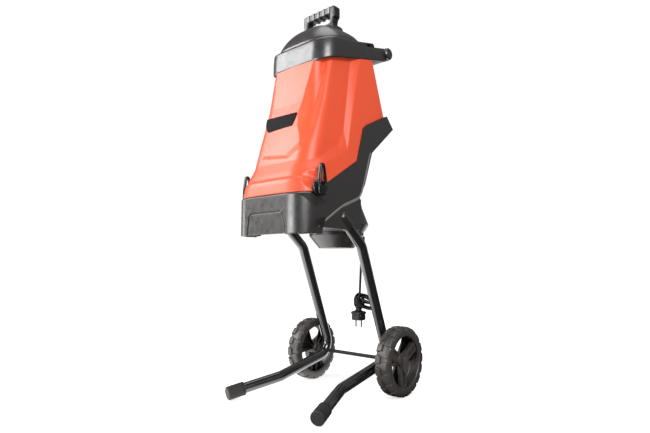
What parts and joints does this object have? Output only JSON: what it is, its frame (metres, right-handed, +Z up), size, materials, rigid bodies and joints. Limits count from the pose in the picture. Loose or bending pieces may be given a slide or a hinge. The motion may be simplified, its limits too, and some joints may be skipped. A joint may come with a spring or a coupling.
{
  "type": "wood chipper",
  "caption": "Upright electric garden shredder on a bent-tube stand with two wheels, a tilting orange hopper, a domed hood with a pusher, and side locking knobs.",
  "frame": {"origin": "on the floor, under the middle of the machine's outline", "axes": "+Z up, -Y to the front (badge and discharge side), X across, along the axle"},
  "size_m": [0.355, 0.428, 1.051],
  "materials": {
    "hopper_plastic": "satin moulded",
    "housing_plastic": "fine moulded texture",
    "wheel_plastic": "moulded",
    "knob_plastic": "gloss",
    "stand_paint": "gloss powder coat",
    "black_rubber": "matte",
    "cord_rubber": "matte",
    "plain_steel": "zinc plated",
    "blade_steel": "ground",
    "disc_steel": "machined",
    "winding": "laminated, varnished",
    "copper": "turned",
    "bracket_alloy": "die cast",
    "badge": "gloss, blank",
    "green_plastic": "gloss",
    "red_plastic": "gloss",
    "pin_metal": "nickel plated"
  },
  "bodies": {
    "stand": {"base_housing": "housing_plastic", "motor_cover": "housing_plastic", "switch_panel": "housing_plastic", "switch_block": "housing_plastic", "overload_breaker": "housing_plastic", "frame_tube_left": "stand_paint", "frame_tube_right": "stand_paint", "foot_cap_left": "black_rubber", "foot_cap_right": "black_rubber", "axle": "stand_paint", "axle_spacers": "wheel_plastic", "axle_retainers": "plain_steel", "motor_stator": "winding", "motor_bearings": "plain_steel", "motor_bracket": "bracket_alloy", "carbon_brushes": "wheel_plastic", "counter_blade": "blade_steel", "hinge_rod": "plain_steel", "power_cord": "cord_rubber", "cord_grommet": "black_rubber", "plug_body": "cord_rubber", "plug_pins": "pin_metal"},
    "hopper": {"hopper_shell": "hopper_plastic", "feed_chute": "housing_plastic", "hood": "housing_plastic", "rear_grip": "housing_plastic", "badge_plate": "badge"},
    "pusher": {"pusher_blade": "housing_plastic", "pusher_handle": "housing_plastic"},
    "rotor": {"rotor_shaft": "plain_steel", "armature": "winding", "commutator": "copper", "cooling_fan": "wheel_plastic", "cutter_disc": "disc_steel", "cutter_blades": "blade_steel", "blade_screws": "plain_steel", "disc_bolt": "plain_steel"},
    "start_button": {"start_button": "green_plastic"},
    "stop_button": {"stop_button": "red_plastic"},
    "reset_button": {"reset_button": "knob_plastic"},
    "wheel_left": {"wheel_left": "wheel_plastic", "hub_cap_left": "wheel_plastic"},
    "knob_left": {"locking_knob_left": "knob_plastic", "knob_screw_left": "plain_steel"},
    "wheel_right": {"wheel_right": "wheel_plastic", "hub_cap_right": "wheel_plastic"},
    "knob_right": {"locking_knob_right": "knob_plastic", "knob_screw_right": "plain_steel"}
  },
  "joints": [
    {"name": "hopper_tilt", "type": "hinge", "parent": "stand", "child": "hopper", "pos_m": [0, 0.14, 0.768], "axis": [-1, 0, 0], "range_deg": [0, 75]},
    {"name": "pusher_slide", "type": "slide", "parent": "hopper", "child": "pusher", "axis": [0, 0, 1], "range_m": [0, 0.345]},
    {"name": "cutter_spin", "type": "hinge", "parent": "stand", "child": "rotor", "pos_m": [0, 0.052, 0.49], "axis": [0, 0, 1], "continuous": true},
    {"name": "wheel_left_spin", "type": "hinge", "parent": "stand", "child": "wheel_left", "pos_m": [0.156, 0.124, 0.09], "axis": [1, 0, 0], "continuous": true},
    {"name": "knob_left_turn", "type": "hinge", "parent": "stand", "child": "knob_left", "pos_m": [0.125, -0.161, 0.52], "axis": [1, 0, 0], "continuous": true},
    {"name": "wheel_right_spin", "type": "hinge", "parent": "stand", "child": "wheel_right", "pos_m": [-0.156, 0.124, 0.09], "axis": [1, 0, 0], "continuous": true},
    {"name": "knob_right_turn", "type": "hinge", "parent": "stand", "child": "knob_right", "pos_m": [-0.125, -0.161, 0.52], "axis": [1, 0, 0], "continuous": true},
    {"name": "start_press", "type": "slide", "parent": "stand", "child": "start_button", "axis": [0, -0.7182, -0.6958], "range_m": [0, 0.003], "stiffness_N_per_m": 400},
    {"name": "stop_press", "type": "slide", "parent": "stand", "child": "stop_button", "axis": [0, -0.7182, -0.6958], "range_m": [0, 0.003], "stiffness_N_per_m": 400},
    {"name": "reset_press", "type": "slide", "parent": "stand", "child": "reset_button", "axis": [0, -0.7182, -0.6958], "range_m": [0, 0.003], "stiffness_N_per_m": 400}
  ]
}
